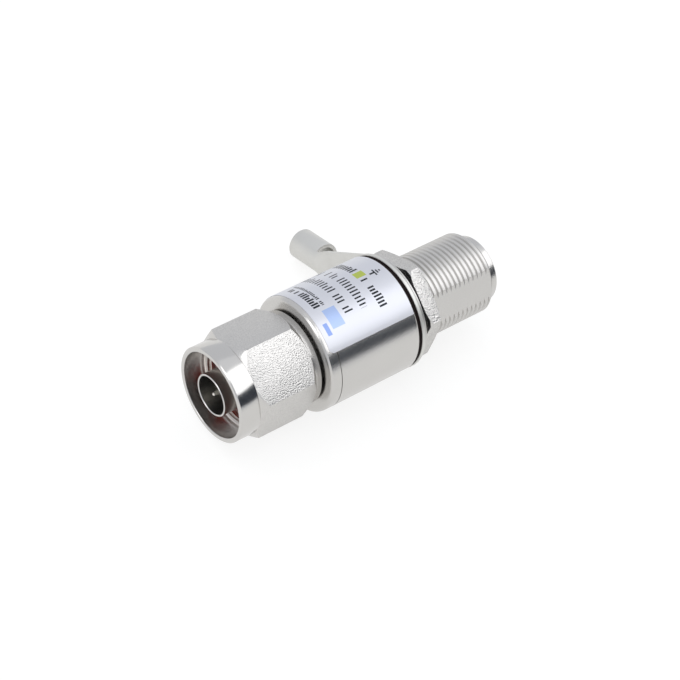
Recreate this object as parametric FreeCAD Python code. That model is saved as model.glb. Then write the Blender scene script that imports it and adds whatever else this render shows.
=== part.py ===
import FreeCAD, Part
import math
import os

# Coaxial surge arrestor: a plug with a hexagon coupling nut at one end, a bulkhead jack at the other,
# a turned barrel between them, and an earth lug, lock washer and hexagon nut on the threaded shank.
# Millimetres. X runs along the line from plug to jack, Z is up, and the origin is on the centre line
# in the flat rear face of the barrel, which is the face that seats on a panel.
# The arrestor lies on its side, on the barrel and on the tip of the earth lug.

# Driving dimensions
THREAD_DIAMETER = 15.875      # 5/8 inch, 24 turns per inch
PITCH = 25.4 / 24
BARREL_DIAMETER = 22.3
NUT_WALL = 1.0625             # from the thread to the flats of both hexagon nuts
SEAL_WIDTH = 2.6125           # panel seal, from its hole to its edge
LINE_BORE = 7.0               # outer conductor of the 50 ohm line
CONDUCTOR_DIAMETER = 3.04
PIN_DIAMETER = 1.6
CONTACT_DIAMETER = 8.06       # tube of the plug's outer contact

COUPLING_LENGTH = 17.5
COUPLING_GAP = 0.5
CAP_LENGTH = 2.25
SLEEVE_LENGTH = 17.75
SEAL_THICKNESS = 0.67
LUG_THICKNESS = 0.7
WASHER_THICKNESS = 0.5
PANEL_NUT_THICKNESS = 4.4     # 1.5 of it a round collar
SHANK_LENGTH = 20.8
NECK_LENGTH = 0.7
END_RIM_LENGTH = 1.4

LUG_REACH = 28.3              # from the centre line to the open end of the crimp barrel
CRIMP_OUTSIDE = 6.0
CRIMP_LENGTH = 7.2

# Turn of each part about the line, in degrees from +Y towards +Z
COUPLING_CLOCK = 97.0
PANEL_NUT_CLOCK = 96.0
FLAT_CLOCK = 155.5
LABEL_EDGE_CLOCK = 135.5
LABEL_SWEEP = 180.0

# Fits, all on the radius
SPIN_CLEARANCE = 0.06         # coupling nut on the plug body
THREAD_CLEARANCE = 0.05
PUSH_CLEARANCE = 0.02

# Derived sizes
THREAD_R = THREAD_DIAMETER / 2
THREAD_ROOT_R = THREAD_R - 0.6134 * PITCH
BARREL_R = BARREL_DIAMETER / 2
HEX_FLAT_R = THREAD_R + NUT_WALL
HEX_CORNER_R = HEX_FLAT_R / math.cos(math.radians(30))
LINE_R = LINE_BORE / 2
CONDUCTOR_R = CONDUCTOR_DIAMETER / 2
CONTACT_R = CONTACT_DIAMETER / 2
HUB_R = THREAD_ROOT_R - 0.09
NUT_BORE_R = HUB_R + SPIN_CLEARANCE
SHELL_BORE_R = BARREL_R - 1.85
BLOCK_R = SHELL_BORE_R - PUSH_CLEARANCE
BEAD_R = LINE_R + 1.45
FLAT_DISTANCE = THREAD_ROOT_R - 0.09
HOLE_R = THREAD_R + THREAD_CLEARANCE
CRIMP_R = CRIMP_OUTSIDE / 2

# Stations along X
X_SEAM = -SLEEVE_LENGTH
X_CAP = X_SEAM - CAP_LENGTH
X_NUT_REAR = X_CAP - COUPLING_GAP
X_NUT_FRONT = X_NUT_REAR - COUPLING_LENGTH
X_SHOULDER = X_CAP - 7.3
X_RING = X_CAP - 5.4
X_LUG = SEAL_THICKNESS
X_WASHER = X_LUG + LUG_THICKNESS
X_PANEL_NUT = X_WASHER + WASHER_THICKNESS
X_PANEL_NUT_REAR = X_PANEL_NUT + PANEL_NUT_THICKNESS
X_SHANK = SHANK_LENGTH
X_RIM = X_SHANK + NECK_LENGTH
X_END = X_RIM + END_RIM_LENGTH
X_FRONT_BEAD = X_CAP - 3.5
X_CAVITY = X_SEAM + 4.3
X_CAVITY_END = -2.5
X_REAR_BEAD = -0.6
X_TUBE = -8.0
X_JACK_STEP = X_END - 10.5

# Heights inside the cavity, above the centre line
TUBE_R = 2.75
Z_TUBE_SEAT = 2.0
Z_TUBE_PLUG = BLOCK_R - 1.48
Z_TUBE_TOP = Z_TUBE_PLUG - 0.8


def vec(x, y, z):
    return FreeCAD.Vector(x, y, z)


def clocked(radius, degrees):
    angle = math.radians(degrees)
    return radius * math.cos(angle), radius * math.sin(angle)


def turned(points):
    """Solid turned about the X axis from a closed outline of (x, radius) points."""
    corners = [vec(x, 0, r) for x, r in points]
    outline = Part.makePolygon(corners + corners[:1])
    return Part.Face(outline).revolve(vec(0, 0, 0), vec(1, 0, 0), 360)


def rod(x0, x1, radius):
    return Part.makeCylinder(radius, x1 - x0, vec(x0, 0, 0), vec(1, 0, 0))


def tube(x0, x1, inner, outer):
    return rod(x0, x1, outer).cut(rod(x0 - 1, x1 + 1, inner))


def hexagon(x0, x1, flat_radius, clock):
    corner = flat_radius / math.cos(math.radians(30))
    points = []
    for index in range(7):
        y, z = clocked(corner, clock + 60 * index)
        points.append(vec(x0, y, z))
    return Part.Face(Part.makePolygon(points)).extrude(vec(x1 - x0, 0, 0))


def thread_outline(x0, turns):
    """Points of a row of V ridges, one pitch apart, from x0 on."""
    points = [(x0, THREAD_ROOT_R)]
    for turn in range(turns):
        start = x0 + turn * PITCH
        points.append((start + 0.4375 * PITCH, THREAD_R))
        points.append((start + 0.5625 * PITCH, THREAD_R))
        points.append((start + PITCH, THREAD_ROOT_R))
    return points


def coupling_nut():
    """Hexagon nut with a round rim and a round collar behind, its bore at the root of its thread."""
    rim_r = HEX_FLAT_R + 0.1
    collar_r = HEX_FLAT_R - 0.05
    collar_start = X_NUT_REAR - 1.25
    hex_start = X_NUT_FRONT + 3.95
    chamfer = HEX_CORNER_R - rim_r
    blank = turned([
        (X_NUT_FRONT, 0), (X_NUT_FRONT, rim_r - 0.19), (X_NUT_FRONT + 0.19, rim_r), (hex_start, rim_r),
        (hex_start + chamfer, HEX_CORNER_R), (collar_start - HEX_CORNER_R + collar_r, HEX_CORNER_R),
        (collar_start, collar_r), (X_NUT_REAR - 0.1, collar_r), (X_NUT_REAR, collar_r - 0.1), (X_NUT_REAR, 0)])
    front = rod(X_NUT_FRONT, hex_start, rim_r + 1)
    hexed = hexagon(hex_start, X_NUT_REAR, HEX_FLAT_R, COUPLING_CLOCK)
    body = blank.common(front.fuse(hexed))
    thread_start = X_NUT_FRONT + 4.1
    entry_r = THREAD_R + 0.23
    root_r = THREAD_R + 0.04
    return body.cut(turned([
        (X_NUT_FRONT - 0.1, 0), (X_NUT_FRONT - 0.1, entry_r + 0.48), (X_NUT_FRONT + 0.5, entry_r),
        (thread_start - 0.25, entry_r), (thread_start, root_r), (X_RING - 0.1, root_r),
        (X_RING - 0.1, HUB_R + 0.85), (X_RING + 1.1, HUB_R + 0.85), (X_RING + 1.1, NUT_BORE_R),
        (X_NUT_REAR + 0.1, NUT_BORE_R), (X_NUT_REAR + 0.1, 0)]))


def plug_body():
    """Outer contact tube, hub for the coupling nut, round cap and the spigot that enters the barrel."""
    spigot_end = X_CAVITY - 0.05
    groove = X_SEAM + 1.0
    shoulder_r = 0.75
    outline = [
        (X_NUT_FRONT, LINE_R), (X_NUT_FRONT, CONTACT_R), (X_SHOULDER, CONTACT_R), (X_SHOULDER, HUB_R),
        (X_RING, HUB_R), (X_RING, HUB_R - 0.7), (X_RING + 1, HUB_R - 0.7), (X_RING + 1, HUB_R), (X_CAP, HUB_R)]
    for angle in (0, 30, 60, 90):
        back, out = clocked(shoulder_r, angle)
        outline.append((X_CAP + shoulder_r - back, BARREL_R - shoulder_r + out))
    outline += [
        (X_SEAM - 0.12, BARREL_R), (X_SEAM, BARREL_R - 0.12), (X_SEAM, BLOCK_R), (groove, BLOCK_R),
        (groove, BLOCK_R - 1.1), (groove + 1.5, BLOCK_R - 1.1), (groove + 1.5, BLOCK_R), (spigot_end, BLOCK_R),
        (spigot_end, BEAD_R), (X_FRONT_BEAD, BEAD_R), (X_FRONT_BEAD, LINE_R)]
    return turned(outline)


def nut_retaining_ring():
    """Open spring ring, half in the hub and half in the coupling nut."""
    ring = tube(X_RING + 0.02, X_RING + 0.98, HUB_R - 0.65, HUB_R + 0.5)
    slot = Part.makeBox(3, 2.4, 10, vec(X_RING - 1, -1.2, -10))
    return ring.cut(slot)


def plug_gasket():
    return tube(X_SHOULDER - 1.2, X_SHOULDER, CONTACT_R + PUSH_CLEARANCE, HUB_R - 0.1)


def front_bead():
    return tube(X_FRONT_BEAD, X_FRONT_BEAD + 3, CONDUCTOR_R + PUSH_CLEARANCE, BEAD_R - PUSH_CLEARANCE)


def rear_bead():
    return tube(X_REAR_BEAD, X_REAR_BEAD + 3, CONDUCTOR_R + PUSH_CLEARANCE, BEAD_R - PUSH_CLEARANCE)


def jack_bead():
    outer = CONTACT_R + 0.05 - PUSH_CLEARANCE
    return tube(X_JACK_STEP, X_JACK_STEP + 1.3, CONDUCTOR_R + PUSH_CLEARANCE, outer)


def plug_pin():
    """Centre contact of the plug, with a rounded tip and a stud at the back."""
    tip_r = PIN_DIAMETER / 2
    tip = X_NUT_FRONT + 0.85
    step = X_NUT_FRONT + 5.7
    back = X_FRONT_BEAD + 2.9
    return turned([
        (tip, 0), (tip, tip_r * 0.45), (tip + 0.25, tip_r * 0.8), (tip + 0.8, tip_r), (step - 0.3, tip_r),
        (step, CONDUCTOR_R), (back, CONDUCTOR_R), (back, 0.85), (back + 3, 0.85), (back + 3, 0)])


def centre_conductor():
    """Rod that joins pin and socket, thicker and flat on top where the discharge tube stands."""
    front = X_FRONT_BEAD + 2.95
    back = X_REAR_BEAD + 6
    solid = turned([
        (front, 0), (front, CONDUCTOR_R), (X_TUBE - 3.4, CONDUCTOR_R), (X_TUBE - 2.9, 2.4),
        (X_TUBE + 2.9, 2.4), (X_TUBE + 3.4, CONDUCTOR_R), (back, CONDUCTOR_R), (back, 0)])
    solid = solid.cut(rod(front - 1, front + 3.2, 0.85 + PUSH_CLEARANCE))
    solid = solid.cut(rod(back - 3.2, back + 1, 0.85 + PUSH_CLEARANCE))
    return solid.cut(Part.makeBox(8, 8, 4, vec(X_TUBE - 4, -4, 2.0)))


def jack_socket():
    """Sprung centre contact of the jack: bored for the pin and slit four ways."""
    back = X_REAR_BEAD + 6.05
    front = X_END - 4.8
    solid = turned([
        (back - 3, 0), (back - 3, 0.85), (back, 0.85), (back, CONDUCTOR_R), (front - 0.3, CONDUCTOR_R),
        (front, CONDUCTOR_R - 0.25), (front, PIN_DIAMETER / 2 + 0.03), (front - 6, PIN_DIAMETER / 2 + 0.03),
        (front - 6, 0)])
    for angle in (45, 135):
        slit = Part.makeBox(4.5, 6, 0.3, vec(front - 4, -3, -0.15))
        slit.rotate(vec(0, 0, 0), vec(1, 0, 0), angle)
        solid = solid.cut(slit)
    return solid


def shell_body():
    """Barrel with its cavity, threaded shank with one long flat, and the plain rim of the jack."""
    end_r = HUB_R - 0.65
    neck_r = end_r - 0.25
    turns = int((X_SHANK - X_PANEL_NUT_REAR) / PITCH)
    thread_start = X_SHANK - 0.35 - turns * PITCH
    under_nut_r = (THREAD_ROOT_R + THREAD_R) / 2
    outline = [(X_SEAM, SHELL_BORE_R), (X_SEAM, BARREL_R - 0.12), (X_SEAM + 0.12, BARREL_R),
               (-0.5, BARREL_R), (0, BARREL_R - 0.5), (0, under_nut_r), (thread_start, under_nut_r)]
    outline += thread_outline(thread_start, turns)
    outline += [(X_SHANK, THREAD_ROOT_R), (X_SHANK, neck_r), (X_RIM, neck_r), (X_RIM, end_r),
                (X_END - 0.15, end_r), (X_END, end_r - 0.15), (X_END, CONTACT_R + 0.4),
                (X_END - 0.35, CONTACT_R + 0.05), (X_JACK_STEP, CONTACT_R + 0.05), (X_JACK_STEP, LINE_R),
                (X_REAR_BEAD + 3, LINE_R), (X_REAR_BEAD + 3, BEAD_R), (X_CAVITY_END, BEAD_R),
                (X_CAVITY_END, SHELL_BORE_R)]
    solid = turned(outline)
    flat = Part.makeBox(X_END, 8, 16, vec(0.4, FLAT_DISTANCE, -8))
    flat.rotate(vec(0, 0, 0), vec(1, 0, 0), FLAT_CLOCK)
    return solid.cut(flat)


def cap_seal():
    """Rubber ring between the spigot of the plug body and the barrel, drawn with six sides."""
    half = 0.52
    centre = X_SEAM + 1.75
    middle = BLOCK_R - 0.53
    return turned([(centre - half, middle), (centre - half / 2, middle + half), (centre + half / 2, middle + half),
                   (centre + half, middle), (centre + half / 2, middle - half), (centre - half / 2, middle - half)])


def cavity_block():
    """Silvered block that fills the barrel: bore for the line and a pocket for the discharge tube."""
    nose = BEAD_R - PUSH_CLEARANCE
    block = turned([
        (X_FRONT_BEAD + 3, LINE_R), (X_FRONT_BEAD + 3, nose), (X_CAVITY, nose), (X_CAVITY, BLOCK_R),
        (X_CAVITY_END, BLOCK_R), (X_CAVITY_END, nose), (X_REAR_BEAD, nose), (X_REAR_BEAD, LINE_R)])
    pocket_r = TUBE_R + THREAD_CLEARANCE
    seat_r = pocket_r + 0.6
    block = block.cut(Part.makeCylinder(pocket_r, BLOCK_R + 1, vec(X_TUBE, 0, 0), vec(0, 0, 1)))
    return block.cut(Part.makeCylinder(seat_r, BLOCK_R, vec(X_TUBE, 0, Z_TUBE_PLUG), vec(0, 0, 1)))


def upright(points):
    """Solid turned about the upright axis of the discharge tube, from (radius, z) points."""
    corners = [vec(X_TUBE + r, 0, z) for r, z in points]
    outline = Part.makePolygon(corners + corners[:1])
    return Part.Face(outline).revolve(vec(X_TUBE, 0, 0), vec(0, 0, 1), 360)


def gas_tube():
    """Sealed gas discharge tube: ceramic ring between two end electrodes."""
    end_r = TUBE_R - 0.35
    low = Z_TUBE_SEAT + 0.7
    high = Z_TUBE_TOP - 0.7
    return upright([(0, Z_TUBE_SEAT), (end_r, Z_TUBE_SEAT), (end_r, low), (TUBE_R, low), (TUBE_R, high),
                    (end_r, high), (end_r, Z_TUBE_TOP), (0, Z_TUBE_TOP)])


def tube_spring():
    """Dished spring washer that holds the discharge tube on the conductor."""
    thickness = 0.3
    rim_r = TUBE_R - 0.15
    return upright([(1.1, Z_TUBE_PLUG - thickness), (1.1, Z_TUBE_PLUG), (1.5, Z_TUBE_PLUG),
                    (rim_r, Z_TUBE_TOP + thickness), (rim_r, Z_TUBE_TOP), (rim_r - 0.4, Z_TUBE_TOP)])


def tube_plug():
    """Screw plug over the spring, turned flush with the block."""
    plug_r = TUBE_R + THREAD_CLEARANCE + 0.56
    plug = Part.makeCylinder(plug_r, BLOCK_R, vec(X_TUBE, 0, Z_TUBE_PLUG), vec(0, 0, 1))
    return plug.common(rod(X_TUBE - 2 * plug_r, X_TUBE + 2 * plug_r, BLOCK_R))


def label():
    """Thin label bent round the barrel, with rounded corners."""
    start = X_SEAM - 1.35
    end = -0.85
    inner = BARREL_R + 0.01
    outline = Part.makePolygon([vec(start, 0, inner), vec(start, 0, inner + 0.07), vec(end, 0, inner + 0.07),
                                vec(end, 0, inner), vec(start, 0, inner)])
    sheet = Part.Face(outline).revolve(vec(0, 0, 0), vec(1, 0, 0), LABEL_SWEEP)
    corner_r = 1.0
    turn = math.degrees(corner_r / inner)
    for x_edge, inward in ((start, 1), (end, -1)):
        for angle, back in ((0, 1), (LABEL_SWEEP, -1)):
            centre = x_edge + inward * corner_r
            low = min(x_edge, centre) - (0.2 if inward > 0 else 0)
            block = Part.makeBox(corner_r + 0.2, corner_r + 0.2, 4, vec(low, -0.2 if back > 0 else -corner_r, 9))
            block = block.cut(Part.makeCylinder(corner_r, 8, vec(centre, back * corner_r, 7), vec(0, 0, 1)))
            block.rotate(vec(0, 0, 0), vec(1, 0, 0), angle)
            sheet = sheet.cut(block)
    sheet.rotate(vec(0, 0, 0), vec(1, 0, 0), LABEL_EDGE_CLOCK - LABEL_SWEEP - 90)
    return sheet


def panel_seal():
    """Flat rubber ring between the barrel and the panel."""
    return tube(0, SEAL_THICKNESS, HOLE_R, HOLE_R + SEAL_WIDTH)


def flat_section(reach, half_width):
    """Outline across the flat tongue of the lug at one reach."""
    back = X_LUG + LUG_THICKNESS
    corners = [vec(X_LUG, reach, -half_width), vec(X_LUG, reach, half_width), vec(back, reach, half_width),
               vec(back, reach, -half_width)]
    return Part.makePolygon(corners + corners[:1])


def bent_section(reach, bend_radius, half_width):
    """Outline across the lug where the strip is bent to a radius, its front face on X_LUG."""
    angle = half_width / bend_radius
    centre = X_LUG + bend_radius
    inside = bend_radius - LUG_THICKNESS

    def point(radius, turn):
        return vec(centre - radius * math.cos(turn), reach, radius * math.sin(turn))

    outer = Part.Arc(point(bend_radius, -angle), point(bend_radius, 0), point(bend_radius, angle)).toShape()
    upper = Part.LineSegment(point(bend_radius, angle), point(inside, angle)).toShape()
    inner = Part.Arc(point(inside, angle), point(inside, 0), point(inside, -angle)).toShape()
    lower = Part.LineSegment(point(inside, -angle), point(bend_radius, -angle)).toShape()
    return Part.Wire([outer, upper, inner, lower])


def lug_clock():
    """Turn at which the tip of the crimp barrel touches the surface that the barrel lies on."""
    slope = math.asin(BARREL_R / math.hypot(LUG_REACH, CRIMP_R))
    return -math.degrees(slope - math.atan2(CRIMP_R, LUG_REACH))


def ground_lug():
    """Ring, tapered tongue and rolled crimp barrel, all from one sheet."""
    ring_r = BARREL_R + 0.05
    neck = 15.5
    neck_half = 5.4
    crimp_start = LUG_REACH - CRIMP_LENGTH
    disc = rod(X_LUG, X_LUG + LUG_THICKNESS, ring_r)
    start, start_half = clocked(ring_r - 0.1, 68.9)
    corners = [vec(X_LUG, start, -start_half), vec(X_LUG, neck, -neck_half), vec(X_LUG, neck, neck_half),
               vec(X_LUG, start, start_half)]
    tongue = Part.Face(Part.makePolygon(corners + corners[:1])).extrude(vec(LUG_THICKNESS, 0, 0))
    sections = [flat_section(neck, neck_half)]
    for share, bend_radius, half_width in ((0.25, 25, 4.75), (0.5, 10, 4.1), (0.7, 5.2, 3.45),
                                           (0.87, 3.6, 2.95), (1, CRIMP_R, 2.75)):
        reach = neck + share * (crimp_start - neck)
        sections.append(bent_section(reach, bend_radius, half_width))
    trough = Part.makeLoft(sections, True, True)
    x_crimp = X_LUG + CRIMP_R
    crimp = Part.makeCylinder(CRIMP_R, CRIMP_LENGTH, vec(x_crimp, crimp_start, 0), vec(0, 1, 0))
    bore = Part.makeCylinder(CRIMP_R - LUG_THICKNESS, CRIMP_LENGTH + 2, vec(x_crimp, crimp_start - 1, 0),
                             vec(0, 1, 0))
    lug = disc.fuse([tongue, trough, crimp.cut(bore)])
    lug = lug.cut(rod(X_LUG - 1, X_LUG + 3, HOLE_R)).removeSplitter()
    lug.rotate(vec(0, 0, 0), vec(1, 0, 0), lug_clock())
    return lug


def lock_washer():
    """Washer with a row of short teeth round its hole."""
    washer = tube(X_WASHER, X_PANEL_NUT, HOLE_R, BARREL_R - 0.05)
    for index in range(12):
        notch = Part.makeBox(2, 1.6, 1.4, vec(X_WASHER - 0.5, -0.8, HOLE_R - 0.4))
        notch.rotate(vec(0, 0, 0), vec(1, 0, 0), index * 30)
        washer = washer.cut(notch)
    return washer


def panel_nut():
    """Hexagon nut with a round collar towards the washer, its corners turned down at the back."""
    collar_r = HEX_FLAT_R - 0.05
    hex_start = X_PANEL_NUT + 1.5
    run = 0.45
    blank = turned([(X_PANEL_NUT, 0), (X_PANEL_NUT, collar_r), (hex_start, collar_r), (hex_start, HEX_CORNER_R),
                    (X_PANEL_NUT_REAR - run, HEX_CORNER_R), (X_PANEL_NUT_REAR, HEX_FLAT_R), (X_PANEL_NUT_REAR, 0)])
    nut = blank.common(hexagon(X_PANEL_NUT, X_PANEL_NUT_REAR, HEX_FLAT_R, PANEL_NUT_CLOCK))
    return nut.cut(turned([
        (X_PANEL_NUT - 0.1, 0), (X_PANEL_NUT - 0.1, HOLE_R + 0.35), (X_PANEL_NUT + 0.3, HOLE_R),
        (X_PANEL_NUT_REAR - 0.3, HOLE_R), (X_PANEL_NUT_REAR + 0.1, HOLE_R + 0.35), (X_PANEL_NUT_REAR + 0.1, 0)]))


PIECES = {
    "coupling_nut": coupling_nut,
    "nut_retaining_ring": nut_retaining_ring,
    "plug_gasket": plug_gasket,
    "plug_body": plug_body,
    "plug_pin": plug_pin,
    "front_bead": front_bead,
    "shell_body": shell_body,
    "cap_seal": cap_seal,
    "label": label,
    "cavity_block": cavity_block,
    "centre_conductor": centre_conductor,
    "gas_tube": gas_tube,
    "tube_spring": tube_spring,
    "tube_plug": tube_plug,
    "rear_bead": rear_bead,
    "jack_bead": jack_bead,
    "jack_socket": jack_socket,
    "panel_seal": panel_seal,
    "ground_lug": ground_lug,
    "lock_washer": lock_washer,
    "panel_nut": panel_nut,
}

os.makedirs("parts", exist_ok=True)
for name, build in PIECES.items():
    shape = build()
    shape.exportStep("parts/" + name + ".step")
    box = shape.BoundBox
    print(name, "solids", len(shape.Solids), "valid", shape.isValid(), "volume", round(shape.Volume, 2),
          "x", round(box.XMin, 2), round(box.XMax, 2), "r", round(max(box.YMax, box.ZMax), 2))
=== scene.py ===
import math

import bmesh
import bpy
from mathutils import Matrix, Vector


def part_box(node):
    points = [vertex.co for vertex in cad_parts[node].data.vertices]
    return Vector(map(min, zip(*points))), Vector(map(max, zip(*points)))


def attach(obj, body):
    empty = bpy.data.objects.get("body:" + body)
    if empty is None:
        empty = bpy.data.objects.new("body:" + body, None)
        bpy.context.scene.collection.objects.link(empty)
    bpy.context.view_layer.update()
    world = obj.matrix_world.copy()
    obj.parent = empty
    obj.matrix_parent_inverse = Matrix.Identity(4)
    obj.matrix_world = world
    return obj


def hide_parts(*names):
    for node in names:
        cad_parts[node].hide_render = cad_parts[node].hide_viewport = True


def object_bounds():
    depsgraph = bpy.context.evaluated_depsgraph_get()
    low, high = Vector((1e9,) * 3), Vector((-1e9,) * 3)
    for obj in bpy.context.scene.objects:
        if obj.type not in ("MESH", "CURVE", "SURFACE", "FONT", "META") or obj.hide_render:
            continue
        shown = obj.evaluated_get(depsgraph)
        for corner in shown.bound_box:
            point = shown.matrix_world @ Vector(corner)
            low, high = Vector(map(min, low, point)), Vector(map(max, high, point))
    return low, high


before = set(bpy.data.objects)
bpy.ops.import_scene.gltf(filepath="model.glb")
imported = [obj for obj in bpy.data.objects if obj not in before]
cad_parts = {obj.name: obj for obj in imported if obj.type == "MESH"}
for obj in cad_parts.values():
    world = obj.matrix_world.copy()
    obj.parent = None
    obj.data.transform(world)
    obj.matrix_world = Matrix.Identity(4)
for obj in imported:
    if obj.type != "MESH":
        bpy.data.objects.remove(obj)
CAD_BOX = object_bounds()

bl_info = {
    "name": "Coaxial surge arrestor",
    "version": (1, 0, 0),
    "blender": (4, 5, 0),
    "location": "View3D > Sidebar > Arrestor",
    "description": "Turned, plated, moulded and printed pieces of a coaxial surge arrestor",
    "category": "Object",
}

# Mesh code works in millimetres, and place_piece turns them to metres. X runs along the line from plug
# to jack, and a clock angle is a turn about it from +Y towards +Z.
MM = 0.001
# Steps of a full turn on plain turned pieces and on threads.
STEPS = 144
THREAD_STEPS = 96
# Edges that bend by more than this stay sharp.
SHARP = math.radians(28)
# Lean of a thread's flanks, half of the 60 degrees between them.
FLANK_LEAN = math.radians(30)
# Half the width of the groove that is left where cap and barrel meet.
SEAM = 0.07
# Kind of the nodes that calculate, and the sockets of a Mix node for colours.
MATH = "ShaderNodeMath"
FACTOR, FIRST_COLOUR, SECOND_COLOUR, MIXED = 0, 6, 7, 2


def linear(hex_colour):
    """Linear RGB of an sRGB hex colour."""
    values = [int(hex_colour[index:index + 2], 16) / 255 for index in (0, 2, 4)]
    return tuple(v / 12.92 if v <= 0.04045 else ((v + 0.055) / 1.055) ** 2.4 for v in values)


def span(node):
    """First and last station of a frame node along the line, in millimetres."""
    low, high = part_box(node)
    return low.x / MM, high.x / MM


# ---------------------------------------------------------------- sizes and colours


class ArrestorSizes(bpy.types.PropertyGroup):
    hex_across_flats: bpy.props.FloatProperty(
        name="Across flats", description="Size of both hexagon nuts over two flats",
        default=0.018, unit="LENGTH", precision=5)
    thread_diameter: bpy.props.FloatProperty(
        name="Thread diameter", description="Over the crests of the 5/8 inch thread",
        default=0.015875, unit="LENGTH", precision=6)
    thread_pitch: bpy.props.FloatProperty(
        name="Thread pitch", description="24 turns to the inch",
        default=0.0254 / 24, unit="LENGTH", precision=6)
    barrel_diameter: bpy.props.FloatProperty(
        name="Barrel diameter", description="Over the turned barrel",
        default=0.0223, unit="LENGTH", precision=5)
    contact_diameter: bpy.props.FloatProperty(
        name="Contact tube diameter", description="Over the tube of the plug's outer contact",
        default=0.00806, unit="LENGTH", precision=5)
    edge_break: bpy.props.FloatProperty(
        name="Edge break", description="Width of the small bevel that tumbling leaves on turned edges",
        default=0.00009, unit="LENGTH", precision=6)
    coupling_clock: bpy.props.FloatProperty(
        name="Coupling nut clock", description="Turn of one corner of the coupling nut",
        default=math.radians(97), subtype="ANGLE")
    panel_nut_clock: bpy.props.FloatProperty(
        name="Panel nut clock", description="Turn of one corner of the panel nut",
        default=math.radians(96), subtype="ANGLE")
    flat_clock: bpy.props.FloatProperty(
        name="Flat clock", description="Turn of the long flat on the threaded shank",
        default=math.radians(155.5), subtype="ANGLE")
    label_clock: bpy.props.FloatProperty(
        name="Label clock", description="Turn of the label's lower edge",
        default=math.radians(135.5), subtype="ANGLE")


def colour_property(name, description, hex_colour):
    return bpy.props.FloatVectorProperty(name=name, description=description, subtype="COLOR", size=3,
                                         min=0, max=1, default=linear(hex_colour))


class ArrestorFinish(bpy.types.PropertyGroup):
    plate: colour_property("Plate", "Bright nickel plate on the turned parts", "CDCBC8")
    lug: colour_property("Lug", "Dull tin on the copper lug", "DAD9D5")
    film: colour_property("Label film", "Pearl film of the label", "DADBE1")
    ink: colour_property("Print", "Dark print on the label", "26282E")
    blue_field: colour_property("Blue field", "Light blue field on the label", "ABBFE6")
    blue_bar: colour_property("Blue bar", "Darker blue bar beside the field", "8BA2DA")
    green_field: colour_property("Green field", "Yellow-green field on the label", "BCC95E")
    gasket: colour_property("Gasket", "Red silicone gasket in the plug", "B43A24")
    seal: colour_property("Panel seal", "Black rubber ring behind the barrel", "140707")


def sizes():
    return bpy.context.scene.arrestor_sizes


def finish():
    return bpy.context.scene.arrestor_finish


# ---------------------------------------------------------------- mesh


def cut(mesh, place, facing, clear=False):
    """Cuts the whole mesh with a plane and, if it is to be cleared, takes away what lies beyond."""
    bmesh.ops.bisect_plane(mesh, geom=mesh.verts[:] + mesh.edges[:] + mesh.faces[:], dist=1e-6,
                           plane_co=place, plane_no=facing, clear_outer=clear)


def spin(mesh, parts, steps, turns=1, pitch=0):
    """Spins vertices and edges about the line, along which each turn takes them by the pitch."""
    bmesh.ops.spin(mesh, geom=parts, cent=(0, 0, 0), axis=(1, 0, 0), dvec=(pitch / steps, 0, 0),
                   angle=math.tau * turns, steps=steps * turns, use_merge=pitch == 0, use_duplicate=False)


def turned(outline, steps=STEPS, closed=True):
    """Mesh turned about the line from corners of (station, radius). An open outline ends on the line."""
    mesh = bmesh.new()
    corners = [mesh.verts.new((x, 0, radius)) for x, radius in outline]
    edges = [mesh.edges.new(pair) for pair in zip(corners, corners[1:])]
    if closed:
        edges.append(mesh.edges.new((corners[-1], corners[0])))
    spin(mesh, corners + edges, steps)
    bmesh.ops.remove_doubles(mesh, verts=mesh.verts, dist=1e-5)
    bmesh.ops.recalc_face_normals(mesh, faces=mesh.faces)
    return mesh


def screwed(x0, x1, low, high, pitch, crest):
    """Open right-hand thread, low and high being its radii at root and crest, crest its share of a turn."""
    flank = abs(high - low) * math.tan(FLANK_LEAN) / pitch
    land = 1 - 2 * flank - crest
    mesh = bmesh.new()
    start = x0 - 1.5 * pitch
    profile = [(0, low), (land, low), (land + flank, high), (land + flank + crest, high), (1, low)]
    corners = [mesh.verts.new((start + share * pitch, 0, radius)) for share, radius in profile]
    edges = [mesh.edges.new(pair) for pair in zip(corners, corners[1:])]
    spin(mesh, corners + edges, THREAD_STEPS, math.ceil((x1 - x0) / pitch) + 3, pitch)
    bmesh.ops.remove_doubles(mesh, verts=mesh.verts, dist=1e-4)
    for station, side in ((x0, -1), (x1, 1)):
        cut(mesh, (station, 0, 0), (side, 0, 0), clear=True)
    return mesh


def threaded_ring(x0, x1, low, high, wall, pitch, crest=0.125):
    """Closed ring with the thread on one side and a plain wall on the other."""
    mesh = screwed(x0, x1, low, high, pitch, crest)
    ends = [mesh.verts.new((x, 0, wall)) for x in (x0, x1)]
    spin(mesh, ends + [mesh.edges.new(ends)], THREAD_STEPS)
    for station in (x0, x1):
        rim = [e for e in mesh.edges if e.is_boundary and all(abs(v.co.x - station) < 1e-4 for v in e.verts)]
        bmesh.ops.triangle_fill(mesh, use_beauty=True, use_dissolve=False, edges=rim)
    bmesh.ops.recalc_face_normals(mesh, faces=mesh.faces)
    return mesh


def turn_down(mesh, limit):
    """Brings every point down to the radius that limit gives for its station, as a chamfering tool does."""
    for vert in mesh.verts:
        radius = math.hypot(vert.co.y, vert.co.z)
        most = limit(vert.co.x)
        if radius > most:
            vert.co.y *= most / radius
            vert.co.z *= most / radius


def mill_flat(mesh, distance, clock, material_index=0):
    """Cuts a flat at a distance from the line, facing the clock angle, and closes it."""
    facing = Vector((0, math.cos(clock), math.sin(clock)))
    cut(mesh, facing * distance, facing, clear=True)
    rim = [edge for edge in mesh.edges if edge.is_boundary]
    for face in bmesh.ops.holes_fill(mesh, edges=rim, sides=0)["faces"]:
        face.material_index = material_index


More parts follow.
